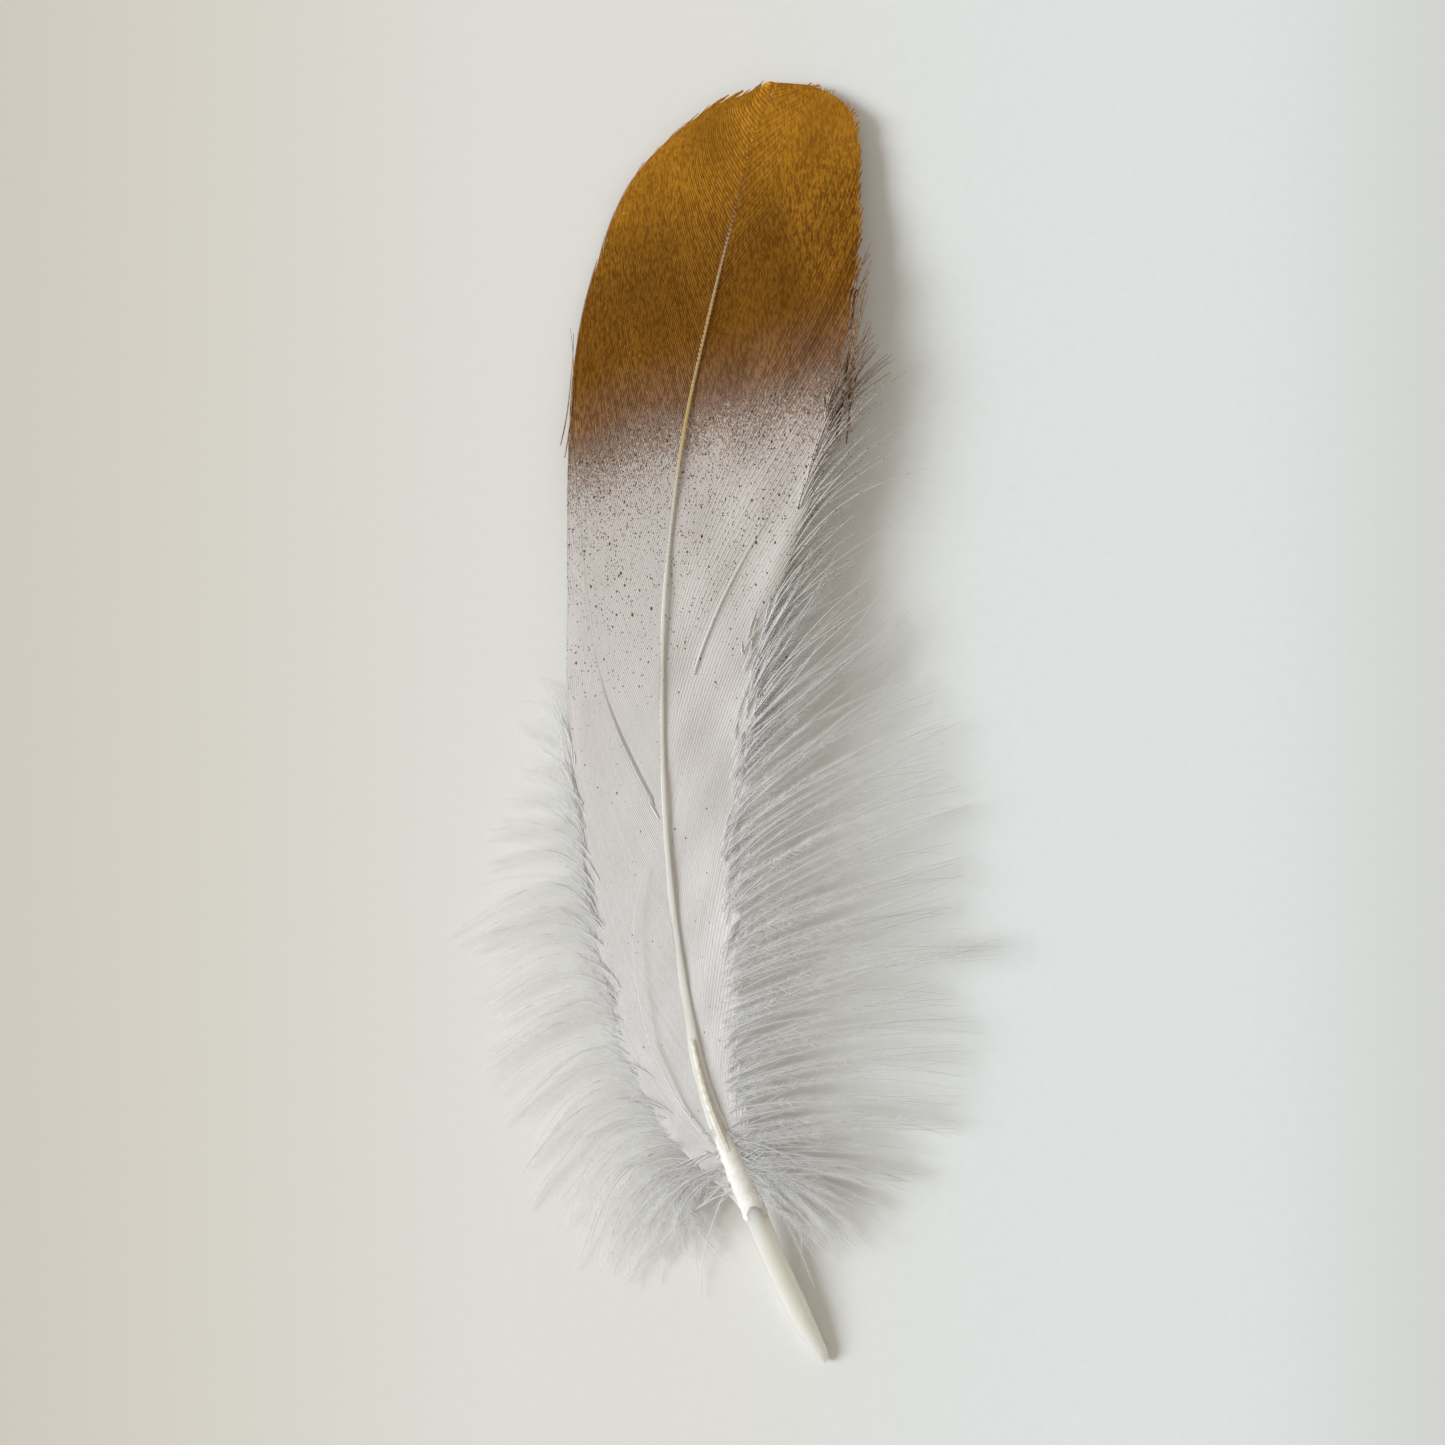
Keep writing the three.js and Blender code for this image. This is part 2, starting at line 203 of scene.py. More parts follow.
def trace_edge(side):
    names = [f"{side}_vane_{part}" for part in VANE_PARTS]
    top = max(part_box(name)[1].y for name in names) / MM
    base = min(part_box(name)[0].y for name in names) / MM
    ys = np.arange(base + 0.5, top - 0.1, 0.4)
    away = AWAY[side]
    reach, height = [], []
    for y in ys:
        cut = crossing(names, y)
        outer = cut[np.argmax(cut[:, 0] * away)]
        reach.append(outer[0] * away)
        height.append(outer[2])
    reach = np.array(reach)
    widest = np.array([reach[max(0, i - 1):i + 2].max() for i in range(len(ys))])
    widest[-6:] = reach[-6:]
    return {"y": ys, "x": smooth(widest, 2) * away, "z": smooth(np.array(height), 6)}


shaft = trace_shaft()
edges = {side: trace_edge(side) for side in LOBES}
VANE_BASE = edges["left"]["y"][0]
VANE_TOP = edges["left"]["y"][-1]
VANE_LENGTH = VANE_TOP - VANE_BASE


def shaft_point(y):
    """The shaft's middle at height y of the feather, as an array of points."""
    x = np.interp(y, shaft["y"], shaft["x"])
    z = np.interp(y, shaft["y"], shaft["z"])
    ends = y > shaft["y"][-1]
    slope = (shaft["x"][-1] - shaft["x"][-20]) / (shaft["y"][-1] - shaft["y"][-20])
    x = np.where(ends, x + (y - shaft["y"][-1]) * slope, x)
    return np.stack([x, y, z], -1)


def shaft_radius(y):
    return np.interp(y, shaft["y"], shaft["radius"])


# How far the outer end of a cross line runs ahead of the shaft, by the share of the vane's length
EDGE_LEAD = {
    "left": ([0, 0.3, 0.5, 0.7, 0.87, 0.95, 1], [0, 0, 2, 4, 5.8, 3, 0]),
    "right": ([0, 0.87, 0.95, 1], [0, 0, 1.5, 0]),
}
# Where a barb that leaves the shaft at one share of the vane's length reaches the vane's edge
BARB_ENDS = {
    "left": ([-0.036, 0, 0.12, 0.33, 0.605, 0.714, 0.82, 0.912, 0.966, 1],
             [0.05, 0.168, 0.473, 0.70, 0.902, 0.951, 0.974, 0.988, 0.995, 1]),
    "right": ([-0.036, 0, 0.12, 0.30, 0.39, 0.47, 0.6, 0.7, 0.82, 0.91, 1],
              [0.02, 0.15, 0.38, 0.61, 0.75, 0.93, 0.965, 0.978, 0.988, 0.994, 1]),
}


def edge_point(side, share):
    y = VANE_BASE + VANE_LENGTH * share + np.interp(share, *EDGE_LEAD[side])
    y = np.clip(y, VANE_BASE, VANE_TOP)
    x = np.interp(y, edges[side]["y"], edges[side]["x"])
    z = np.interp(y, edges[side]["y"], edges[side]["z"])
    return np.stack([x, y, z], -1)


def barb_advance(side, start, out):
    """How a barb's run towards the tip is spread over its way out to the edge."""
    if side == "left":
        ease = np.clip((start - 0.35) / 0.25, 0, 1)
        straight = 0.45 + 0.4 * ease
        return straight * out + (1 - straight) * out ** 5
    ease = np.clip((start - 0.35) / 0.2, 0, 1)
    low = 0.9 * out + 0.1 * out ** 3
    high = 1 - (1 - np.minimum(out, 1)) ** 1.5
    return low * (1 - ease) + high * ease


def vane_point(side, start, out):
    """Points of the barb that leaves the shaft at one share, at shares of its way to the edge."""
    away = AWAY[side]
    end = np.interp(start, *BARB_ENDS[side])
    share = start + (end - start) * barb_advance(side, start, out)
    root = shaft_point(VANE_BASE + VANE_LENGTH * share)
    beside = np.interp(root[..., 1], [155, 167], [0.7, -0.2])
    root[..., 0] += away * beside * shaft_radius(root[..., 1])
    rim = edge_point(side, np.minimum(share, 1))
    if side == "right":
        flatter = np.interp(root[..., 1], [25, 40, 130, 165], [0, 1, 1, 0])
        root[..., 2] -= ROOT_DROP * flatter
    point = root + (rim - root) * out[..., None]
    point[..., 2] += VANE_CROWN[side] * out * (1 - out) + vane_waves(side, point)
    if side == "left":
        point[..., 2] -= EDGE_CURL * (out ** 7 - out)
    return point


def vane_waves(side, point):
    """Shallow waves and the soft fold that the vane has."""
    x, y = point[..., 0], point[..., 1]
    wave = 0.10 * np.sin(0.21 * y + 0.5 * x) + 0.06 * np.sin(0.47 * y - 0.8 * x + 1.3)
    if side == "right":
        past = x - np.interp(y, [70, 96, 106, 116, 124, 140], [-13.5, -12.0, -8.6, -4.4, -0.6, 3.4])
        wave = wave + 0.22 * np.exp(-((past - 0.3) / 1.5) ** 2 - ((y - 111) / 14) ** 4)
    return wave


# ---------------------------------------------------------------- node tree helpers

def add(tree, kind, inputs=None, **settings):
    """A node with its settings, and its inputs by name or number: a value or another socket."""
    made = tree.nodes.new(kind)
    for key, value in settings.items():
        setattr(made, key, value)
    for key, value in (inputs or {}).items():
        socket = made.inputs[key]
        if isinstance(value, bpy.types.NodeSocket):
            tree.links.new(value, socket)
        else:
            socket.default_value = value
    return made


def math_node(tree, operation, *values):
    return add(tree, "ShaderNodeMath", dict(enumerate(values)), operation=operation).outputs[0]


def plus(tree, first, second):
    return math_node(tree, "ADD", first, second)


def minus(tree, first, second):
    return math_node(tree, "SUBTRACT", first, second)


def times(tree, first, second):
    return math_node(tree, "MULTIPLY", first, second)


def named(tree, name):
    return add(tree, "GeometryNodeInputNamedAttribute", {"Name": name},
               data_type="FLOAT").outputs[0]


def new_tree(name, sockets):
    """A Geometry Nodes tree with a geometry input, named inputs, and a geometry output."""
    tree = bpy.data.node_groups.new(name, "GeometryNodeTree")
    tree.interface.new_socket("Geometry", in_out="INPUT", socket_type="NodeSocketGeometry")
    for label, kind in sockets:
        tree.interface.new_socket(label, in_out="INPUT", socket_type=kind)
    tree.interface.new_socket("Geometry", in_out="OUTPUT", socket_type="NodeSocketGeometry")
    source = tree.nodes.new("NodeGroupInput")
    return tree, source.outputs


def finish_tree(tree, geometry, material):
    whole = add(tree, "GeometryNodeRealizeInstances", {0: geometry}).outputs[0]
    painted = add(tree, "GeometryNodeSetMaterial", {"Geometry": whole, "Material": material})
    out = tree.nodes.new("NodeGroupOutput")
    tree.links.new(painted.outputs[0], out.inputs[0])


def grow(name, guide, tree, inputs):
    """Runs a tree on a guide mesh and returns the result as a plain mesh object."""
    source = bpy.data.objects.new(name + "_guide", guide)
    bpy.context.scene.collection.objects.link(source)
    modifier = source.modifiers.new("grow", "NODES")
    modifier.node_group = tree
    for item in tree.interface.items_tree:
        if item.item_type == "SOCKET" and item.in_out == "INPUT" and item.name in inputs:
            modifier[item.identifier] = inputs[item.name]
    bpy.context.view_layer.update()
    evaluated = source.evaluated_get(bpy.context.evaluated_depsgraph_get())
    mesh = bpy.data.meshes.new_from_object(evaluated)
    mesh.name = name
    bpy.data.objects.remove(source)
    bpy.data.meshes.remove(guide)
    piece = bpy.data.objects.new(name, mesh)
    bpy.context.scene.collection.objects.link(piece)
    return piece


def guide_lines(name, lines, values):
    """A mesh of open lines, one for each row of points, with one number a point for each value."""
    count, samples = lines.shape[:2]
    mesh = bpy.data.meshes.new(name)
    index = np.arange(count * samples).reshape(count, samples)
    pairs = np.stack([index[:, :-1].ravel(), index[:, 1:].ravel()], 1)
    mesh.from_pydata((lines.reshape(-1, 3) * MM).tolist(), pairs.tolist(), [])
    for label, numbers in values.items():
        layer = mesh.attributes.new(label, "FLOAT", "POINT")
        layer.data.foreach_set("value", np.ascontiguousarray(numbers, np.float32).ravel())
    return mesh


# ---------------------------------------------------------------- Geometry Nodes: barbs and plumes

def swept(tree, curve, profile, width):
    """A profile swept along a curve, as wide as the width at each point."""
    return add(tree, "GeometryNodeCurveToMesh", {
        "Curve": curve, "Profile Curve": profile, "Scale": width, "Fill Caps": True}).outputs[0]


def level_curve(tree, geometry):
    """Guide lines as curves whose normals lie level, so that profiles don't roll."""
    curve = add(tree, "GeometryNodeMeshToCurve", {"Mesh": geometry}).outputs[0]
    return add(tree, "GeometryNodeSetCurveNormal", {"Curve": curve}, mode="Z_UP").outputs[0]


def barb_tree():
    """Sweeps a low three-sided ridge along each guide line: one barb of the closed vane."""
    tree, socket = new_tree("barb_web", [
        ("Ridge height", "NodeSocketFloat"), ("Material", "NodeSocketMaterial")])
    curve = level_curve(tree, socket["Geometry"])
    curve = add(tree, "GeometryNodeSetCurveTilt", {"Curve": curve, "Tilt": named(tree, "tilt")})
    ring = add(tree, "GeometryNodeCurvePrimitiveCircle",
               {"Resolution": 3, "Radius": 1.0}, mode="RADIUS").outputs[0]
    size = add(tree, "ShaderNodeCombineXYZ", {0: socket["Ridge height"], 1: 0.577, 2: 1.0})
    ridge = add(tree, "GeometryNodeTransform", {
        "Geometry": ring, "Rotation": (0, 0, PROFILE_UP), "Scale": size.outputs[0]}).outputs[0]
    web = swept(tree, curve.outputs[0], ridge, named(tree, "width"))
    flat = add(tree, "GeometryNodeSetShadeSmooth", {0: web, "Shade Smooth": False})
    finish_tree(tree, flat.outputs[0], socket["Material"])
    return tree


def turned(tree, rotation, about):
    """A rotation turned further about its own axes."""
    by = add(tree, "FunctionNodeEulerToRotation", {0: about}).outputs[0]
    return add(tree, "FunctionNodeRotateRotation", {0: rotation, 1: by},
               rotation_space="LOCAL").outputs[0]


def between(tree, low, high, seed):
    """A random number for each point."""
    return add(tree, "FunctionNodeRandomValue", {2: low, 3: high, "Seed": seed},
               data_type="FLOAT").outputs[1]


def plume_tree():
    """Sweeps each strand of down and sets two rows of fine barbules along it."""
    tree, socket = new_tree("down_plume", [
        ("Barbule length", "NodeSocketFloat"), ("Barbule width", "NodeSocketFloat"),
        ("Barbule pitch", "NodeSocketFloat"), ("Splay", "NodeSocketFloat"),
        ("Seed", "NodeSocketInt"), ("Material", "NodeSocketMaterial")])
    curve = level_curve(tree, socket["Geometry"])
    ring = add(tree, "GeometryNodeCurvePrimitiveCircle",
               {"Resolution": 3, "Radius": 0.5}, mode="RADIUS").outputs[0]
    ring = add(tree, "GeometryNodeTransform",
               {"Geometry": ring, "Rotation": (0, 0, STRAND_ROLL)}).outputs[0]
    join = tree.nodes.new("GeometryNodeJoinGeometry")
    tree.links.new(swept(tree, curve, ring, named(tree, "width")), join.inputs[0])
    points = add(tree, "GeometryNodeCurveToPoints",
                 {"Curve": curve, "Length": socket["Barbule pitch"]}, mode="LENGTH").outputs
    needle = add(tree, "GeometryNodeMeshCone", {
        "Vertices": 3, "Side Segments": 1, "Fill Segments": 1, "Radius Top": 0.0,
        "Radius Bottom": socket["Barbule width"], "Depth": socket["Barbule length"]}).outputs[0]
    for row, side in enumerate((0.0, math.pi)):
        seed = [plus(tree, socket["Seed"], 10.0 * row + i) for i in range(3)]
        roll = between(tree, side - BARBULE_ROLL, side + BARBULE_ROLL, seed[0])
        splay = times(tree, socket["Splay"], between(tree, 0.7, 1.25, seed[1]))
        about = add(tree, "ShaderNodeCombineXYZ", {2: roll}).outputs[0]
        lean = add(tree, "ShaderNodeCombineXYZ", {1: splay}).outputs[0]
        rotation = turned(tree, turned(tree, points["Rotation"], about), lean)
        scale = times(tree, between(tree, 0.55, 1.1, seed[2]), named(tree, "fluff"))
        tree.links.new(add(tree, "GeometryNodeInstanceOnPoints", {
            "Points": points["Points"], "Instance": needle,
            "Rotation": rotation, "Scale": scale}).outputs[0], join.inputs[0])
    whole = add(tree, "GeometryNodeRealizeInstances", {0: join.outputs[0]}).outputs[0]
    place = add(tree, "ShaderNodeSeparateXYZ",
                {0: tree.nodes.new("GeometryNodeInputPosition").outputs[0]}).outputs
    above = add(tree, "ShaderNodeCombineXYZ", {
        0: place[0], 1: place[1], 2: math_node(tree, "MAXIMUM", place[2], TABLE_CLEARANCE * MM)})
    settled = add(tree, "GeometryNodeSetPosition", {
        "Geometry": whole, "Position": above.outputs[0]})
    finish_tree(tree, settled.outputs[0], socket["Material"])
    return tree


# ---------------------------------------------------------------- materials

def new_material(name):
    material = bpy.data.materials.new(name)
    material.use_nodes = True
    material.node_tree.nodes.clear()
    return material, material.node_tree


def place_mm(tree):
    """The place on the feather, in millimetres."""
    source = tree.nodes.new("ShaderNodeTexCoord").outputs["Object"]
    return add(tree, "ShaderNodeVectorMath", {0: source, "Scale": 1 / MM},
               operation="SCALE").outputs[0]


def noise(tree, place, scale, detail=2.0, stretch=(1, 1, 1), turn=0.0):
    """A noise pattern with its scale in cells a millimetre, stretched along its own axes."""
    mapped = add(tree, "ShaderNodeMapping", {
        "Vector": place, "Rotation": (0, 0, turn), "Scale": stretch}).outputs[0]
    return add(tree, "ShaderNodeTexNoise", {
        "Vector": mapped, "Scale": scale, "Detail": detail}).outputs[0]


def ramp(tree, value, low, high, to_low=0.0, to_high=1.0, smooth_ends=True):
    """Value moved from one range to another, and held at its ends."""
    return add(tree, "ShaderNodeMapRange", {
        0: value, 1: low, 2: high, 3: to_low, 4: to_high},
        interpolation_type="SMOOTHSTEP" if smooth_ends else "LINEAR").outputs[0]


def blend_colours(tree, factor, first, second):
    mixed = tree.nodes.new("ShaderNodeMix")
    mixed.data_type, mixed.blend_type = "RGBA", "MIX"
    for socket, value in ((mixed.inputs[0], factor), (mixed.inputs[6], first),
                          (mixed.inputs[7], second)):
        if isinstance(value, bpy.types.NodeSocket):
            tree.links.new(value, socket)
        else:
            socket.default_value = value if isinstance(value, float) else (*value, 1)
    return mixed.outputs[2]


def surface(tree, shader):
    out = tree.nodes.new("ShaderNodeOutputMaterial")
    tree.links.new(shader, out.inputs["Surface"])


def let_light_through(tree, share, shader, colour):
    """Ends the material in a shader that also passes a share of the light."""
    through = add(tree, "ShaderNodeBsdfTranslucent", {"Color": colour}).outputs[0]
    surface(tree, add(tree, "ShaderNodeMixShader", {
        0: share, 1: shader.outputs[0], 2: through}).outputs[0])


def bump(tree, height, strength, distance):
    return add(tree, "ShaderNodeBump", {
        "Height": height, "Strength": strength, "Distance": distance * MM}).outputs[0]


def gilding(tree, place):
    """How much gold lies on the feather: solid at the tip, then a mist that thins to specks."""
    part = add(tree, "ShaderNodeSeparateXYZ", {0: place}).outputs
    slant = times(tree, part[0], GILD_SLANT)
    drift = minus(tree, noise(tree, place, 0.09), 0.5)
    depth = plus(tree, part[1], minus(tree, slant, GILD_LINE))
    depth = plus(tree, depth, times(tree, drift, GILD_DRIFT))
    solid = ramp(tree, depth, *SOLID_GOLD)
    mist = math_node(tree, "POWER", ramp(tree, depth, *GOLD_MIST, smooth_ends=False), 3.0)
    cover = plus(tree, solid, times(tree, mist, MIST_SHARE))
    cover = math_node(tree, "MINIMUM", cover, 1.0)
    grain = ramp(tree, noise(tree, place, 4.6, 3.0, (1, 0.55, 1)), 0.36, 0.64, smooth_ends=False)
    drops = minus(tree, times(tree, cover, 1.4), grain)
    stipple = ramp(tree, drops, 0.0, 0.24)
    haze = times(tree, cover, HAZE_SHARE)
    sharp = times(tree, stipple, 1 - HAZE_SHARE)
    return plus(tree, haze, sharp), depth


def specks(tree, place, depth, cells, size, share, seen):
    """Single drops of paint in cells of a given number a millimetre, fewer away from the tip."""
    longer = add(tree, "ShaderNodeMapping", {"Vector": place, "Scale": (1, 0.65, 1)}).outputs[0]
    cell = add(tree, "ShaderNodeTexVoronoi", {"Vector": longer, "Scale": cells})
    dots = add(tree, "ShaderNodeSeparateXYZ", {0: cell.outputs["Color"]}).outputs
    radius = ramp(tree, math_node(tree, "POWER", dots[0], 3.0), 0, 1, *size)
    nearer = math_node(tree, "POWER", ramp(tree, depth, -seen, -5.0, smooth_ends=False), 2.0)
    painted = ramp(tree, depth, -5.0, 5.0, share, 0.0)
    chance = times(tree, plus(tree, nearer, 0.008), painted)
    chosen = math_node(tree, "LESS_THAN", dots[1], chance)
    inside = math_node(tree, "LESS_THAN", cell.outputs["Distance"], radius)
    return times(tree, inside, chosen)


def vane_material():
    """White webbing, gilded towards the tip with metallic paint."""
    material, tree = new_material("gilded_vane_web")
    place = place_mm(tree)
    gold, depth = gilding(tree, place)
    barb_tone = add(tree, "ShaderNodeAttribute", attribute_name="tone").outputs["Fac"]
    streaks = noise(tree, place, 3.4, 3.0, (1, 0.25, 1), math.radians(5))
    painted_glints = noise(tree, place, 4.6, 1.0, (1, 0.3, 1), math.radians(-6))
    fine = noise(tree, place, 4.0, 2.0, (1, 0.3, 1), math.radians(5))
    cloud = noise(tree, place, 0.09, 2.0, (1, 0.5, 1))
    mixed = plus(tree, times(tree, barb_tone, 0.12), streaks)
    gilt = blend_colours(tree, ramp(tree, mixed, 0.43, 0.70), GOLD_DARK, GOLD_LIGHT)
    # Painted glints: bright flecks of gold where the metal paint would catch the light
    gilt = blend_colours(tree, ramp(tree, painted_glints, 0.56, 0.70, 0.0, 0.5), gilt, GOLD_GLINT)
    gilt = blend_colours(tree, ramp(tree, cloud, 0.35, 0.65, 0.0, 0.4), gilt, GOLD_BROWN)
    # Painted light and shade: the gold is browner low down and lighter towards the tip, where more
    # light falls on it
    gilt = blend_colours(tree, ramp(tree, depth, 6.0, 36.0, 0.6, 0.0), gilt, GOLD_BROWN)
    gilt = blend_colours(tree, ramp(tree, depth, 14.0, 36.0, 0.0, 0.5), gilt, GOLD_LIGHT)
    # A browner spot of gold near the tip
    away = add(tree, "ShaderNodeVectorMath", {0: place, 1: BROWN_SPOT}, operation="DISTANCE")
    browner_spot = ramp(tree, away.outputs["Value"], 0.5, 8.0, 0.65, 0.0)
    gilt = blend_colours(tree, browner_spot, gilt, GOLD_BROWN)
    # Painted shade: browner gold over the middle of the lower gold, away from its lit edges
    inside = add(tree, "ShaderNodeVectorMath", {0: place, 1: SHADED_GOLD_PATCH}, operation="DISTANCE")
    painted_shade = ramp(tree, inside.outputs["Value"], 4.0, 15.0, 0.4, 0.0)
    gilt = blend_colours(tree, painted_shade, gilt, GOLD_BROWN)
    mist = blend_colours(tree, ramp(tree, mixed, 0.43, 0.70), MIST_DARK, MIST_LIGHT)
    gilt = blend_colours(tree, ramp(tree, depth, -6.0, 8.0, 0.95, 0.0), gilt, mist)
    fibres = plus(tree, times(tree, barb_tone, 0.25), fine)
    white = blend_colours(tree, ramp(tree, fibres, 0.4, 0.85), WEB_SHADE, WEB_WHITE)
    dusty = ramp(tree, depth, -90.0, -8.0, 0.0, 0.75, smooth_ends=False)
    white = blend_colours(tree, dusty, white, WEB_DUSTY)
    colour = blend_colours(tree, gold, white, gilt)
    for layer in SPECK_LAYERS:
        drop = specks(tree, place, depth, *layer)
        colour = blend_colours(tree, drop, colour, SPECK_BROWN)
    metal = times(tree, gold, 0.6)
    rough = ramp(tree, streaks, 0.3, 0.7, 0.42, 0.62)
    relief = bump(tree, streaks, 0.3, 0.1)
    coat = add(tree, "ShaderNodeBsdfPrincipled", {
        "Base Color": colour, "Metallic": metal, "Roughness": rough, "Normal": relief,
        "Specular IOR Level": 0.25})
    bare = minus(tree, 1.0, gold)
    let_light_through(tree, times(tree, bare, 0.2), coat, colour)
    return material


def down_material():
    """Soft white down that lets light through."""
    material, tree = new_material("white_down")
    place = place_mm(tree)
    tone = ramp(tree, noise(tree, place, 0.35), 0.35, 0.65)
    colour = blend_colours(tree, tone, DOWN_SHADE, DOWN_WHITE)
    fibre = add(tree, "ShaderNodeBsdfPrincipled", {"Base Color": colour, "Roughness": 0.6})
    let_light_through(tree, 0.4, fibre, colour)
    return material


def bronze_material():
    """Loose barbs that caught the paint on all sides."""
    material, tree = new_material("bronzed_barb")
    place = place_mm(tree)
    tone = ramp(tree, noise(tree, place, 2.0), 0.35, 0.65)
    colour = blend_colours(tree, tone, BRONZE_DARK, BRONZE_LIGHT)
    paint = add(tree, "ShaderNodeBsdfPrincipled", {
        "Base Color": colour, "Metallic": 0.4, "Roughness": ramp(tree, tone, 0, 1, 0.4, 0.6)})
    surface(tree, paint.outputs[0])
    return material


def shaft_material():
    """Cream shaft with fine lengthwise lines, touched with gold at the tip."""
    material, tree = new_material("cream_shaft_keratin")
    place = place_mm(tree)
    lines = noise(tree, place, 3.0, 2.0, (1, 0.05, 1), math.radians(-4))
    part = add(tree, "ShaderNodeSeparateXYZ", {0: place}).outputs
    cream = blend_colours(tree, ramp(tree, part[1], 50.0, 110.0), SHAFT_IVORY, SHAFT_CREAM)
    cream = blend_colours(tree, ramp(tree, lines, 0.35, 0.65, 0.0, 0.6), cream, SHAFT_SHADE)
    tinted = blend_colours(tree, ramp(tree, part[1], 112.0, 130.0), cream, SHAFT_GILT)
    tinted = blend_colours(tree, ramp(tree, part[1], 142.0, 152.0), tinted, SHAFT_ROSE)
    tinted = blend_colours(tree, ramp(tree, part[1], 160.0, 166.0), tinted, SHAFT_TIP)
    gloss = add(tree, "ShaderNodeBsdfPrincipled", {
        "Base Color": tinted, "Roughness": ramp(tree, lines, 0.3, 0.7, 0.32, 0.5),
        "Normal": bump(tree, lines, 0.3, 0.1), "Subsurface Weight": 0.8,
        "Subsurface Radius": (1.0, 0.97, 0.9), "Subsurface Scale": 1.4 * MM})
    surface(tree, gloss.outputs[0])
    return material


def sheath_paper():
    """Dry white skin that peels from the foot of the shaft."""
    material, tree = new_material("dry_sheath_skin")
    place = place_mm(tree)
    flakes = noise(tree, place, 1.6, 3.0, (1, 0.5, 1), math.radians(20))
    colour = blend_colours(tree, ramp(tree, flakes, 0.35, 0.6), SHEATH_CREAM, SHEATH_WHITE)
    skin = add(tree, "ShaderNodeBsdfPrincipled", {
        "Base Color": colour, "Roughness": 0.6, "Normal": bump(tree, flakes, 0.3, 0.15),
        "Subsurface Weight": 0.6, "Subsurface Radius": (1.0, 0.98, 0.93),
        "Subsurface Scale": 2 * MM})
    surface(tree, skin.outputs[0])
    return material


def horn_material():
    """Clear horn of the bare quill, cloudy and smooth."""
    material, tree = new_material("quill_horn")
    place = place_mm(tree)
    cloud = noise(tree, place, 0.5, 2.0, (1, 0.3, 1), math.radians(25))
    colour = blend_colours(tree, ramp(tree, cloud, 0.35, 0.65), HORN_SHADE, HORN_LIGHT)
    horn = add(tree, "ShaderNodeBsdfPrincipled", {
        "Base Color": colour, "Roughness": ramp(tree, cloud, 0.3, 0.7, 0.16, 0.26),
        "Subsurface Weight": 1.0, "Subsurface Radius": (1.0, 1.0, 0.9),
        "Subsurface Scale": 4 * MM,
        "Coat Weight": 1.0, "Coat Roughness": 0.04})
    let_light_through(tree, 0.25, horn, colour)
    return material


def inner_material(name, light, shade, scale):
    """Dry tissue inside the shaft, with a fine uneven tone."""
    material, tree = new_material(name)
    place = place_mm(tree)
    tone = ramp(tree, noise(tree, place, scale, 3.0), 0.35, 0.65)
    tissue = add(tree, "ShaderNodeBsdfPrincipled", {
        "Base Color": blend_colours(tree, tone, shade, light), "Roughness": 0.8,
        "Normal": bump(tree, noise(tree, place, 4 * scale), 0.3, 0.05)})
    surface(tree, tissue.outputs[0])
    return material


def table_material():
    """Pale painted table with a faint mottle; painted light and shade make it warmer and darker to
    one side, cooler past the middle, and darker again at the far side.
    """
    material, tree = new_material("pale_table")
    place = place_mm(tree)
    part = add(tree, "ShaderNodeSeparateXYZ", {0: place}).outputs
    # Painted warm light and shade: warmer and darker towards the far left
    warm_painted_shade = ramp(tree, part[0], -118.0, -45.0, smooth_ends=False)
    base = blend_colours(tree, warm_painted_shade, TABLE_FAR_WARM_SHADE, TABLE_MIDDLE)
    # Painted cool light: cooler towards the right
    base = blend_colours(tree, ramp(tree, part[0], -30.0, 40.0), base, TABLE_COOL_LIGHT)
    # Painted shade: darker towards the far right
    base = blend_colours(tree, ramp(tree, part[0], 55.0, 95.0, 0.0, 0.8), base, TABLE_MOTTLE_AND_SHADE)
    mottle = ramp(tree, noise(tree, place, 0.6, 4.0), 0.3, 0.7, 0.0, 0.10)
    base = blend_colours(tree, mottle, base, TABLE_MOTTLE_AND_SHADE)
    paint = add(tree, "ShaderNodeBsdfPrincipled", {
        "Base Color": base, "Roughness": 0.65,
        "Normal": bump(tree, noise(tree, place, 1.5, 3.0), 0.05, 0.1)})
    surface(tree, paint.outputs[0])
    return material


# ---------------------------------------------------------------- the vane

def spacing(lines):
    """How far each barb is from the next, square to its run."""
    run = np.gradient(lines, axis=1)
    run /= np.linalg.norm(run, axis=2, keepdims=True)
    step = np.diff(lines, axis=0, append=lines[-1:] + (lines[-1:] - lines[-2:-1]))
    along = (step * run).sum(2, keepdims=True)
    return np.linalg.norm(step - along * run, axis=2)


def vane_lines(side):
    count = int(VANE_LENGTH * (1 + VANE_FOOT) / BARB_PITCH)
    starts = np.linspace(-VANE_FOOT, 0.998, count)
    out = np.linspace(0, 1, BARB_SAMPLES) ** 0.9
    lines = np.array([vane_point(side, start, out) for start in starts])
    last = lines[:, -1] - lines[:, -4]
    last /= np.linalg.norm(last, axis=1, keepdims=True)
    steep = np.interp(starts, [0.6, 0.75], [0, 0.8])[:, None]
    last = last * (1 - steep) + np.array([0.42, 0.91, 0]) * steep
    ragged = {"left": [0.05, 0.1, RAGGED_SHARE], "right": [0.6, 0.4, RAGGED_SHARE]}[side]
    stands_out = rng.random(count) < np.interp(starts, [0.3, 0.5, 0.75], ragged)
    stretch = np.where(stands_out, rng.uniform(0.4, 1.3, count), rng.uniform(-0.1, 0.15, count))
    far = {"left": [0.2, 0.3, 1.0], "right": [1.0, 0.9, 0.55]}[side]
    stretch *= np.interp(starts, [0, 0.5, 0.75], far)
    lines[:, -3:] += (stretch[:, None] * last)[:, None, :] * np.array([0.3, 0.7, 1])[None, :, None]
    return starts, lines


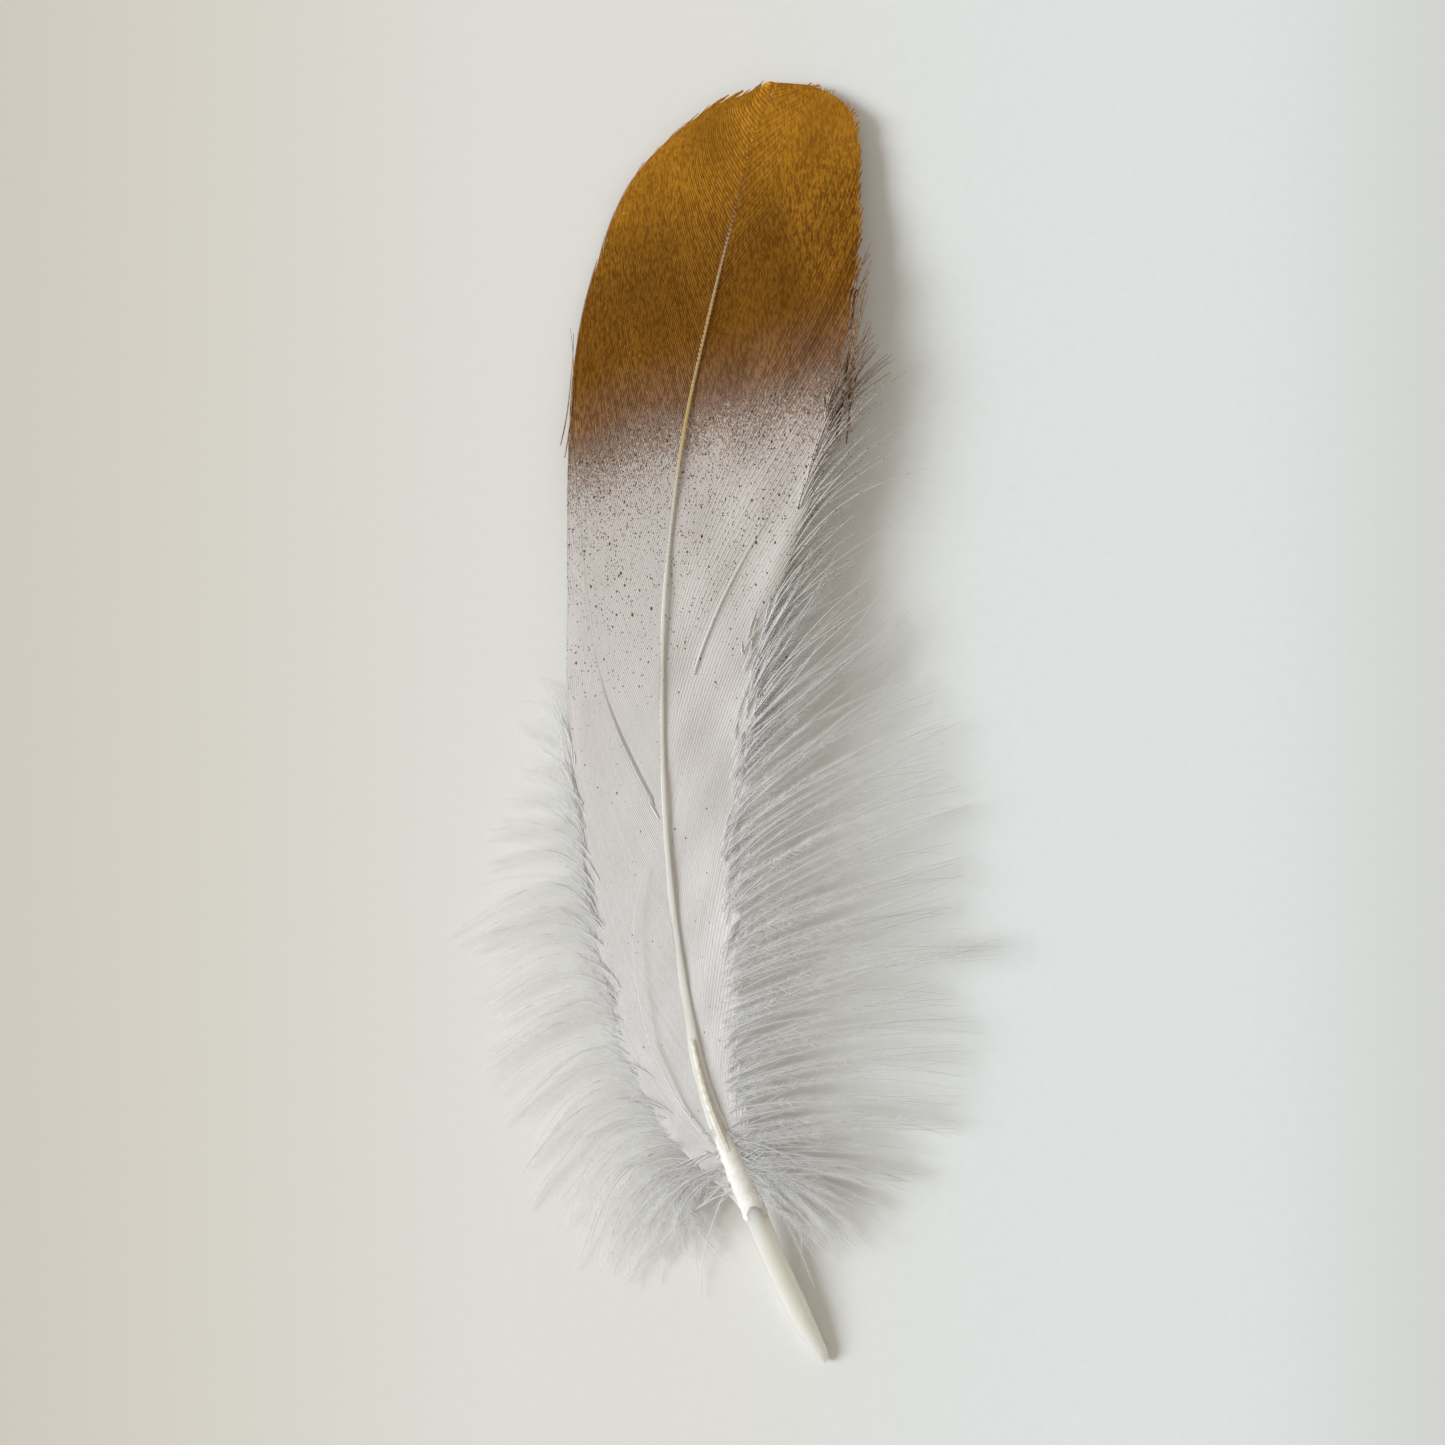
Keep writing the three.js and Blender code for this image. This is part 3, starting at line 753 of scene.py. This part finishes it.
def make_vane(side, tree, material):
    starts, lines = vane_lines(side)
    apart = spacing(lines)
    apart = np.clip(np.maximum(apart, np.roll(apart, 1, axis=0)), *BARB_SPACING)
    taper = np.ones(BARB_SAMPLES)
    taper[-3:] = [1.0, 0.8, 0.3]
    width = np.maximum(apart * BARB_OVERLAP, BARB_NARROWEST) * taper
    lines[::2, :, 2] += BARB_STAGGER
    if side == "left":
        part_barb(starts, lines, width)
    tilt = np.full(width.shape, math.radians(BARB_TILT[side]))
    tone = np.repeat(rng.random(len(lines)), BARB_SAMPLES).reshape(width.shape)
    guide = guide_lines(f"{side}_barb_guides", lines, {
        "width": width * MM, "tilt": tilt, "tone": tone})
    piece = grow(f"{side}_vane_web", guide, tree, {
        "Ridge height": RIDGE_HEIGHT, "Material": material})
    keep(piece, "gilded_vane", *[f"{side}_vane_{part}" for part in VANE_PARTS])
    return piece


def part_barb(starts, lines, width):
    """Opens the web along one barb, whose neighbour on the outer side stands a little proud."""
    gap = int(np.argmin(abs(starts - SPLIT_START)))
    closed = np.interp(np.linspace(0, 1, BARB_SAMPLES), [0.05, 0.12, 0.92, 1], [1, 0, 0.1, 1])
    for step in range(SPLIT_BARBS):
        width[gap + step] *= 0.05 + 0.95 * closed
        lines[gap + step, :, 2] -= SPLIT_DEPTH * (1 - closed)
    for step in range(1, LIP_BARBS + 1):
        lines[gap - step, :, 2] += LIP_HEIGHT * (1 - (step - 1) / LIP_BARBS) * (1 - closed)


def keep(piece, slot, *nodes):
    """The piece rides on the feather and stands for CAD nodes, which it hides; its slot is not
    used.
    """
    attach(piece, "root")
    if nodes:
        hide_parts(*nodes)


# ---------------------------------------------------------------- the down

# The way that strands set out from the vane's edge, in degrees off the feather's line, and how
# far below their lobe they leave it, by share from the top of the down to its bottom
SET_OUT = {
    "left": ([0, 0.3, 0.55, 0.75, 0.9, 1], [4, 14, 30, 58, 90, 125]),
    "right": ([0, 0.2, 0.5, 0.75, 0.9, 1], [18, 36, 46, 60, 84, 118]),
}
LEAVE_BELOW = {
    "left": ([0, 0.3, 0.6, 0.9, 1], [9, 11, 10, 6, 2]),
    "right": ([0, 0.3, 0.7, 0.9, 1], [15, 18, 18, 9, 2]),
}
REACH = {"left": 0.5, "right": 0.42}        # how long a strand keeps that way
BOW = {"left": 0.8, "right": 0.5}           # share of that turn it really makes


def lobe_tips(side):
    """Where each lobe of down touches the table, from the top of the down to its bottom."""
    tips = []
    for index in range(LOBES[side]):
        points = solids[f"{side}_down_{index + 1}"][0]
        low = points[points[:, 2] < points[:, 2].min() + 0.5]
        tips.append(low.mean(0))
    return np.array(tips)


def lobe_roots(side):
    """Where the strands of each lobe leave the vane's edge."""
    heights = []
    for index in range(LOBES[side]):
        points = solids[f"{side}_down_{index + 1}"][0]
        high = points[points[:, 2] > points[:, 2].max() - 0.6]
        share = (index + 0.5) / LOBES[side]
        heights.append(high[:, 1].mean() - np.interp(share, *LEAVE_BELOW[side]))
    y = np.maximum(heights, VANE_BASE + 0.8)
    x = np.interp(y, edges[side]["y"], edges[side]["x"])
    z = np.interp(y, edges[side]["y"], edges[side]["z"]) + 0.35
    return np.stack([x, y, z], -1)


def along_lobes(values, share):
    """Values of the lobes, read between their middles and carried on past the ends."""
    count = len(values)
    middles = (np.arange(count) + 0.5) / count
    first = values[0] + (values[0] - values[1]) / 2
    last = values[-1] + (values[-1] - values[-2]) / 2
    places = np.concatenate([[0], middles, [1]])
    table = np.concatenate([[first], values, [last]])
    return np.array([np.interp(share, places, table[:, axis]) for axis in range(3)]).T


def strand(root, tip, way, reach, sway, loft=1.0):
    """One strand: it sets out one way and falls over towards its tip on the table."""
    length = np.linalg.norm(tip - root)
    t = np.linspace(0, 1, STRAND_SAMPLES)[:, None]
    knee = root + np.array([math.sin(way), math.cos(way), 0.0]) * length * reach
    line = root * (1 - t) ** 2 + 2 * knee * t * (1 - t) + tip * t ** 2
    aside = np.array([tip[1] - root[1], root[0] - tip[0], 0.0]) / length
    phase = rng.uniform(0, 2 * math.pi, 2)
    wave = np.sin(3.0 * t + phase[0]) - math.sin(phase[0])
    curl = np.sin(8.0 * t + phase[1]) - math.sin(phase[1])
    line = line + aside * (sway * wave + 0.3 * sway * curl) * t
    fall = 1 - t[:, 0] ** loft
    line[:, 2] = root[2] * fall + tip[2] * (1 - fall)
    return line


def lobe_lines(side, index):
    """The strands of one lobe, gathered into a few pointed tufts."""
    away = AWAY[side]
    count = STRANDS[side]
    shares = (index + (np.arange(count) + rng.uniform(0, 1, count)) / count) / LOBES[side]
    roots = along_lobes(lobe_roots(side), shares)
    reach = rng.uniform(0.75, 1.06, (count, 1))
    tips = roots + (along_lobes(lobe_tips(side), shares) - roots) * reach
    tips[:, :2] += rng.normal(0, TIP_SPREAD, (count, 2))
    tuft = np.sort(rng.integers(0, TUFTS, count))
    for number in range(TUFTS):
        members = tuft == number
        if members.any():
            middle = roots[members].mean(0)
            centre = middle + (tips[members].mean(0) - middle) * rng.uniform(0.82, 1.12)
            tips[members] += (centre - tips[members]) * rng.uniform(0.4, 0.8)
    tips[:, 2] = rng.uniform(*TIP_HEIGHT[side], count) + 2.2 * rng.random(count) ** 3
    inward = rng.uniform(0, INWARD[side], count) * min(1.0, 0.25 + index / 7)
    roots += rng.normal(0, 0.6, (count, 3)) * np.array([0.3, 1, 0.3])
    roots[:, 0] -= away * inward
    roots[:, 2] += RISE[side] * inward
    lines = []
    for share, tip, root in zip(shares, tips, roots):
        straight = math.degrees(math.atan2(abs(tip[0] - root[0]), tip[1] - root[1]))
        way = straight + BOW[side] * (np.interp(share, *SET_OUT[side]) - straight)
        way = math.radians(way + rng.normal(0, 7)) * away
        lines.append(strand(root, tip, way, REACH[side], rng.uniform(0.3, 1.3),
                            rng.uniform(*LOFT[side])))
    return np.array(lines)


def strand_values(lines, fluff):
    """A strand's width and how full its barbules are, from root to tip."""
    t = np.linspace(0, 1, lines.shape[1])
    width = STRAND_WIDTH * np.minimum(STRAND_ROOT + 4 * t, 1) * (1 - STRAND_TAPER * t) * MM
    full = fluff * np.clip(0.8 + 1.5 * t, 0, 1) * (1 - 0.72 * t ** 3)
    count = len(lines)
    return {"width": np.tile(width, (count, 1)),
            "fluff": np.tile(full, (count, 1)) * rng.uniform(0.75, 1.1, (count, 1)),
            "tone": np.tile(rng.random((count, 1)), (1, lines.shape[1]))}


def make_lobe(side, index, tree, material):
    lines = lobe_lines(side, index)
    share = (index + 0.5) / LOBES[side]
    fluff = 0.45 + 0.55 * min(1.0, share / 0.35) if side == "right" else 0.8 + 0.2 * share
    name = f"{side}_down_{index + 1}"
    guide = guide_lines(name + "_guides", lines, strand_values(lines, fluff))
    piece = grow(f"{side}_plume_{index + 1}", guide, tree, {
        "Barbule length": BARBULE_LENGTH[side] * MM, "Barbule width": BARBULE_WIDTH * MM,
        "Barbule pitch": BARBULE_PITCH * MM, "Splay": math.radians(BARBULE_SPLAY),
        "Seed": 100 * index + (7 if side == "left" else 53), "Material": material})
    keep(piece, "down", name)
    return piece


# ---------------------------------------------------------------- loose strands

def smooth_line(points):
    """A smooth line through a few points, in millimetres."""
    points = np.array(points, float)
    lengths = np.linalg.norm(np.diff(points, axis=0), axis=1)
    at = np.concatenate([[0], np.cumsum(lengths)]) / lengths.sum()
    t = np.linspace(0, 1, STRAND_SAMPLES)
    line = np.stack([np.interp(t, at, points[:, axis]) for axis in range(3)], -1)
    for axis in range(3):
        line[1:-1, axis] = smooth(line[:, axis], 3)[1:-1]
    return line


def grow_strands(name, kind, lines, tree, material):
    """A piece of loose strands of one kind."""
    fluff, width, seed = LOOSE[kind]
    values = strand_values(np.array(lines), fluff)
    values["width"] = values["width"] * width
    guide = guide_lines(name + "_guides", np.array(lines), values)
    return grow(name, guide, tree, {
        "Barbule length": BARBULE_LENGTH["left"] * MM, "Barbule width": BARBULE_WIDTH * MM,
        "Barbule pitch": BARBULE_PITCH * MM, "Splay": math.radians(BARBULE_SPLAY),
        "Seed": seed, "Material": material})


def wisp_lines(band, count, lengths):
    """Open barbs along the wide side's edge, between the gold and the down."""
    lines = []
    for y in rng.uniform(*band, count):
        root = np.array([np.interp(y, edges["right"]["y"], edges["right"]["x"]) - 0.8, y,
                         np.interp(y, edges["right"]["y"], edges["right"]["z"]) + 0.1])
        lean = math.radians(np.interp(y, [84, 110, 131], [34, 26, 14]) + rng.normal(0, 6))
        length = rng.uniform(*lengths) * np.interp(y, [84, 118, 131], [1.1, 1, 0.55])
        tip = root + length * np.array([math.sin(lean + 0.2), math.cos(lean + 0.2), 0])
        tip[2] = root[2] * rng.uniform(0.35, 0.95)
        lines.append(strand(root, tip, lean - 0.12, 0.5, rng.uniform(0.2, 0.8), 2.0))
    return lines


def rim_lines(side):
    """Short down that rises over the edge of the closed vane and hides it."""
    away = AWAY[side]
    low, high, count = RIM_DOWN[side]
    lines = []
    for y in rng.uniform(low, high, count):
        inside = rng.uniform(0.2, 3.0)
        root = np.array([np.interp(y, edges[side]["y"], edges[side]["x"]) - away * inside, y,
                         np.interp(y, edges[side]["y"], edges[side]["z"]) + 0.3 + 0.1 * inside])
        lean = np.interp(y, [30, 60, 100], {"left": [75, 30, 8], "right": [72, 48, 26]}[side])
        lean = math.radians(lean + rng.normal(0, 10)) * away
        length = rng.uniform(*RIM_LENGTH)
        tip = root + length * np.array([math.sin(lean), math.cos(lean), 0])
        tip[2] = root[2] * rng.uniform(0.75, 1.0)
        lines.append(strand(root, tip, lean - 0.25 * away, 0.5, rng.uniform(0.2, 0.8), 2.0))
    return lines


def foot_lines(side):
    """Short soft strands that radiate from the foot of the shaft."""
    away = AWAY[side]
    lines = []
    for turn in rng.uniform(*FOOT_TURNS[side], FOOT_COUNT[side]):
        y = rng.uniform(VANE_BASE - 2.5, VANE_BASE + 7)
        root = shaft_point(np.array(y)) + np.array([away * rng.uniform(0.6, 3.5), 0, 0.5])
        way = math.radians(turn) * away
        length = rng.uniform(*FOOT_LENGTH[side])
        tip = root + length * np.array([math.sin(way), math.cos(way), 0])
        tip[1] = max(tip[1] - 0.12 * length, 7.5)
        tip[2] = rng.uniform(0.3, 1.2)
        early = way - away * math.radians(rng.uniform(8, 30))
        sway = rng.uniform(0.4, 1.6)
        lines.append(strand(root, tip, early, 0.5, sway, rng.uniform(*FOOT_LOFT[side])))
    return lines


def stray_lines(node, side):
    """A few barbs round the line of one of the frame's stray barbs, from inside the vane."""
    points, away, spread = solids[node][0], AWAY[side], STRAY_SPREAD[side]
    order = points[:, 1]
    ends = [points[abs(order - y) < 1.0].mean(0) for y in (order.min(), order.max())]
    lines = []
    for _ in range(STRAY_COUNT[side]):
        root = ends[0] + rng.normal(0, spread, 3) * np.array([0.7, 1.6, 0.1])
        tip = ends[1] + rng.normal(0, spread, 3) * np.array([1.0, 2.0, 0.3])
        run = tip - root
        root = root - run * 0.45 - np.array([away * 0.8, 0, 0])
        way = math.atan2(run[0], run[1])
        lines.append(strand(root, tip, way - 0.1 * away, 0.5, rng.uniform(0.0, 0.25)))
    return lines


def laid_line(side, start, low, high):
    """A loose barb lying on the vane along its neighbours."""
    line = vane_point(side, start, np.linspace(low, high, STRAND_SAMPLES))
    line[:, 2] += LAID_HEIGHT
    return line


def crossing_line():
    """A loose barb that crosses the narrow side near its base."""
    lines = []
    for y, off in ((29.8, 2.0), (36.1, 4.2), (43.8, 6.0), (50, 6.3), (56.4, 6.2), (62, 5.4),
                   (68.7, 3.1)):
        point = shaft_point(np.array(float(y)))
        lines.append([point[0] - off, y, point[2] + 0.35])
    return smooth_line(lines)


# ---------------------------------------------------------------- the shaft

def shaft_tree():
    """Sweeps the shaft's oval section along its guide line."""
    tree, socket = new_tree("shaft_sweep", [
        ("Sides", "NodeSocketInt"), ("Flatness", "NodeSocketFloat"),
        ("Material", "NodeSocketMaterial")])
    curve = level_curve(tree, socket["Geometry"])
    ring = add(tree, "GeometryNodeCurvePrimitiveCircle",
               {"Resolution": socket["Sides"], "Radius": 1.0}, mode="RADIUS").outputs[0]
    size = add(tree, "ShaderNodeCombineXYZ", {0: 1.0, 1: socket["Flatness"], 2: 1.0}).outputs[0]
    oval = add(tree, "GeometryNodeTransform", {"Geometry": ring, "Scale": size}).outputs[0]
    skin = swept(tree, curve, oval, named(tree, "width"))
    finish_tree(tree, skin, socket["Material"])
    return tree


def make_shaft_piece(name, low, high, samples, shape, flatness, lift, tree, material):
    """A length of the shaft whose half width is its own times shape at each height."""
    y = np.linspace(low, high, samples)
    line = shaft_point(y)
    width = shaft_radius(y) * shape(y)
    line[:, 2] += lift(y)
    guide = guide_lines(name + "_guide", line[None], {"width": width[None] * MM})
    return grow(name, guide, tree, {
        "Sides": SHAFT_SIDES, "Flatness": flatness, "Material": material})


def flaky(y):
    """The papery sheath at the foot of the shaft: a few uneven steps, then plain to the tip."""
    steps = sum(0.09 * np.clip(1 - (y - edge) / run, 0, 1) * (y > edge) for edge, run in TORN_STEPS)
    return (1.0 + steps + 0.02 * np.sin(2.1 * y) * (y < 40)) * np.interp(y, [35, 75], [1, 0.7])


def sheath_shape(y):
    """The sheath's half width against the shaft's: loose below, in torn steps to nothing above."""
    torn = 0.03 * np.sin(2.9 * y) + 0.015 * np.sin(7.1 * y + 1.0)
    return np.interp(y, *SHEATH_FIT) + torn


# ---------------------------------------------------------------- build

web = vane_material()
fluff_white = down_material()
barbs, plumes, sweep = barb_tree(), plume_tree(), shaft_tree()
for side in LOBES:
    make_vane(side, barbs, web)
    for index in range(LOBES[side]):
        make_lobe(side, index, plumes, fluff_white)

for kind, find_lines in (("foot_down", foot_lines), ("rim_down", rim_lines)):
    for side in LOBES:
        keep(grow_strands(f"{side}_{kind}", kind, find_lines(side), plumes, fluff_white), "down")
for name, where, material in (("edge_wisps", EDGE_WISPS, web),
                              ("open_edge_barbs", OPEN_BARBS, fluff_white)):
    keep(grow_strands(name, name, wisp_lines(*where), plumes, material), "white_vane")
bronze = bronze_material()
STRAY_NODES = {
    "right": ["stray_barb_right_low", "stray_barb_right_middle", "stray_barb_right_high"],
    "left": ["stray_barb_left"],
}
for side, nodes in STRAY_NODES.items():
    name = f"stray_barbs_{side}"
    strays = [line for node in nodes for line in stray_lines(node, side)]
    keep(grow_strands(name, name, strays, plumes, bronze), "gilded_vane", *nodes)
laid = [laid_line("right", 0.36, 0.30, 0.72), laid_line("left", SPLIT_START - 0.006, 0.05, 0.72),
        crossing_line()]
keep(grow_strands("laid_barbs", "laid_barbs", laid, plumes, fluff_white), "white_vane")

rachis_low, rachis_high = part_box("rachis")[0].y / MM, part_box("rachis")[1].y / MM
stem = make_shaft_piece("ivory_shaft", rachis_low - 0.6, rachis_high - 1.5, 300, flaky,
                        SHAFT_FLATNESS,
                        lambda y: -0.15 * shaft_radius(y) - 0.4 * np.clip((y - 154) / 13, 0, 1),
                        sweep, shaft_material())
keep(stem, "shaft_keratin", "rachis")
sheath = make_shaft_piece("papery_sheath", *SHEATH_ENDS, 80, sheath_shape, SHEATH_FLATNESS,
                          lambda y: np.interp(y, SHEATH_ENDS, [0.12, -0.3]), sweep, sheath_paper())
keep(sheath, "shaft_keratin")
quill_low, quill_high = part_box("calamus")[0].y / MM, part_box("calamus")[1].y / MM
barrel = make_shaft_piece("horn_quill", quill_low + 0.5, quill_high, 90,
                          lambda y: np.sqrt(np.clip((y - quill_low - 0.35) / 1.4, 0.05, 1)), 1.0,
                          lambda y: np.maximum(0, shaft_radius(y) - shaft_point(y)[:, 2] + 0.03),
                          sweep, horn_material())
keep(barrel, "quill_keratin", "calamus")

FINISHES = {
    "rachis_pith": inner_material("shaft_pith", PITH_LIGHT, PITH_SHADE, 1.5),
    "pulp_cap": inner_material("pulp_membrane", MEMBRANE_LIGHT, MEMBRANE_SHADE, 2.5),
}
for node_name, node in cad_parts.items():
    for first_words, finish in FINISHES.items():
        if node_name.startswith(first_words):
            for material_slot in node.material_slots:
                material_slot.material = finish


# ---------------------------------------------------------------- table, light and camera

def make_table():
    bpy.ops.mesh.primitive_grid_add(x_subdivisions=8, y_subdivisions=8, size=TABLE_SIZE,
                                    location=TABLE_PLACE)
    table = bpy.context.object
    table.name = "table_top"
    table.data.transform(table.matrix_world)
    table.matrix_world.identity()
    table.data.materials.append(table_material())


def make_light():
    sky = bpy.data.worlds.new("studio_fill")
    sky.use_nodes = True
    fill = sky.node_tree.nodes["Background"]
    fill.inputs["Color"].default_value = (*FILL_COLOUR, 1)
    fill.inputs["Strength"].default_value = FILL_STRENGTH
    bpy.context.scene.world = sky
    key = bpy.data.lights.new("window_key", "SUN")
    key.energy = KEY_STRENGTH
    key.angle = KEY_SOFTNESS
    key.color = KEY_COLOUR
    lamp = bpy.data.objects.new("window_key", key)
    lamp.rotation_euler = (0, -(math.pi / 2 - KEY_ELEVATION), 0)
    bpy.context.scene.collection.objects.link(lamp)


def make_camera():
    eye = bpy.data.cameras.new("overhead_camera")
    eye.angle = 2 * math.atan(FRAME_WIDTH / 2 / CAMERA_HEIGHT)
    eye.clip_start = 0.01
    camera = bpy.data.objects.new("overhead_camera", eye)
    camera.location = (*FRAME_CENTRE, CAMERA_HEIGHT)
    bpy.context.scene.collection.objects.link(camera)
    bpy.context.scene.camera = camera


make_table()
make_light()
make_camera()
bpy.context.scene.view_settings.view_transform = "Standard"
